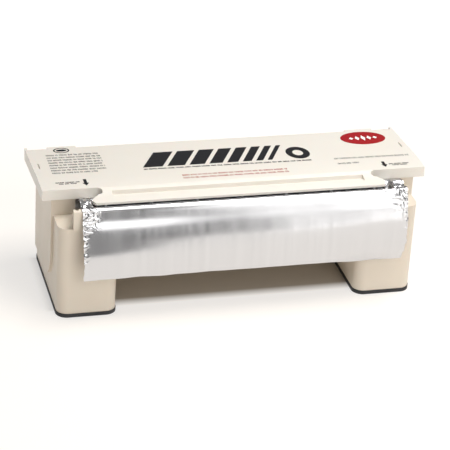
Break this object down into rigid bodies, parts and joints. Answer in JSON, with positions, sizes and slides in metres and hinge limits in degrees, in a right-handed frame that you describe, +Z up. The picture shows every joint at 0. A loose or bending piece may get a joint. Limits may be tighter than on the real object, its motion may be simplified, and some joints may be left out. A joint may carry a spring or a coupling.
{
  "type": "film and foil dispenser",
  "caption": "Countertop film and foil dispenser: hollow-legged base, sprung hinged lid with a press bar and hidden blade, foil roll threaded over the front rail.",
  "frame": {"origin": "middle of the object's bounding box in plan, at the surface it stands on", "axes": "+Z up, -Y the front where the foil comes out, X along the roll"},
  "size_m": [0.544, 0.209, 0.1778],
  "materials": {
    "abs_body": "cream moulded ABS, light satin grain",
    "abs_lid": "off-white moulded ABS, satin",
    "boot_rubber": "black moulded rubber",
    "strip_rubber": "dark grey rubber",
    "screw_steel": "plain zinc-plated steel",
    "pin_steel": "ground steel",
    "spring_steel": "spring wire",
    "blade_steel": "stainless blade strip",
    "carrier_aluminium": "mill-finish aluminium angle",
    "nylon": "natural nylon moulding",
    "core_card": "wound brown card tube",
    "foil": "bright kitchen foil",
    "badge_red": null,
    "print_black": null,
    "print_red": null
  },
  "bodies": {
    "root": {"base_housing": "abs_body", "boot_left": "boot_rubber", "boot_right": "boot_rubber", "front_rail": "abs_body", "rail_grip": "strip_rubber", "rail_screws": "screw_steel", "hinge_pin_left": "pin_steel", "hinge_pin_right": "pin_steel", "hinge_retainers": "pin_steel", "lid_spring_left": "spring_steel", "lid_spring_right": "spring_steel", "lid_bumpers": "strip_rubber", "saddle_left": "nylon", "saddle_right": "nylon", "saddle_screws": "screw_steel", "foil_web": "foil"},
    "lid": {"lid": "abs_lid", "oval_badge": "badge_red", "blade_carrier": "carrier_aluminium", "carrier_screws": "screw_steel", "blade": "blade_steel", "blade_screws": "screw_steel"},
    "roll": {"core_plug_left": "nylon", "core_plug_right": "nylon", "roll_core": "core_card", "foil_roll": "foil"}
  },
  "joints": [
    {"name": "lid_hinge", "type": "hinge", "parent": "root", "child": "lid", "pos_m": [0, 0.09381, 0.16], "axis": [-1, 0, 0], "range_deg": [-4, 95], "stiffness_Nm_per_rad": 0.3, "springref_deg": 68.75},
    {"name": "roll_spin", "type": "hinge", "parent": "root", "child": "roll", "pos_m": [0, 0.01781, 0.113], "axis": [-1, 0, 0], "continuous": true}
  ]
}
